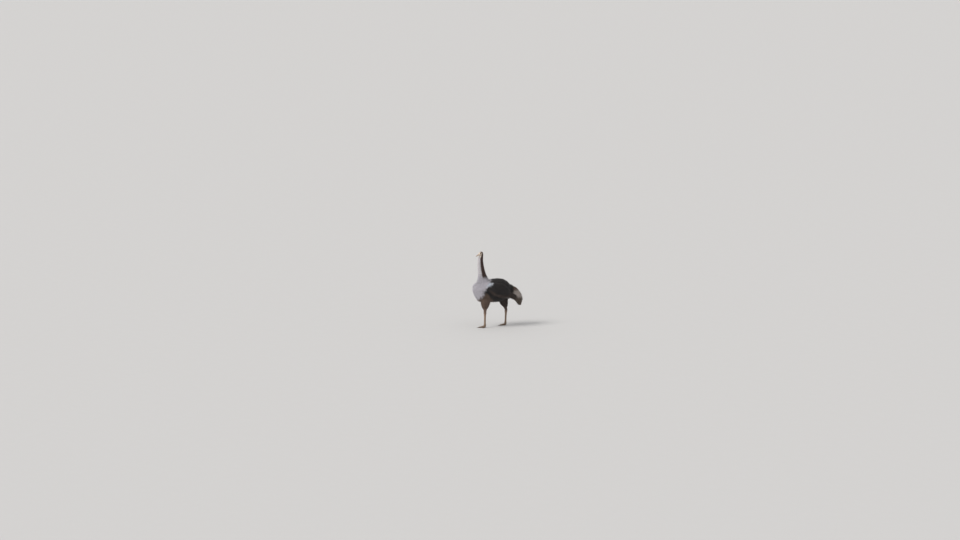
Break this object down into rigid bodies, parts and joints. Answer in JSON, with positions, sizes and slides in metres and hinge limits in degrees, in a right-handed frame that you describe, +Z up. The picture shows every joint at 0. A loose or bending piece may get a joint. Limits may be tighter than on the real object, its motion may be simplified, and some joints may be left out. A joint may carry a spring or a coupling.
{
  "type": "ostrich",
  "caption": "Standing ostrich, life size, in a slow walking stance, as a still museum model with named body parts.",
  "frame": {"origin": "centre of the footprint box on the floor, under the bird", "axes": "+Z up, the bird faces -Y, its left side is +X"},
  "size_m": [0.6786, 1.5072, 2.201],
  "materials": {
    "plumage": "soft matt plumes, black on back and wings, brown on the flanks",
    "pale_plumage": "soft matt pale grey down on breast and foreneck",
    "tail_plumage": "soft matt plumes, off-white mixed with dark brown",
    "skin": "bare wrinkled skin, satin",
    "leg_scales": "horny scutes, satin",
    "horn": "horn, semi-gloss",
    "eye": "wet, high gloss"
  },
  "bodies": {
    "root": {"head": "skin", "beak_upper": "horn", "beak_lower": "horn", "eye_left": "eye", "eye_right": "eye", "neck_upper": "pale_plumage", "neck_lower": "pale_plumage", "trunk": "plumage", "wing_left": "plumage", "wing_right": "plumage", "tail": "tail_plumage", "thigh_left": "skin", "thigh_right": "skin", "shank_left": "leg_scales", "shank_right": "leg_scales", "toe_inner_left": "leg_scales", "toe_inner_right": "leg_scales", "toe_outer_left": "leg_scales", "toe_outer_right": "leg_scales", "claw_left": "horn", "claw_right": "horn"}
  },
  "joints": []
}
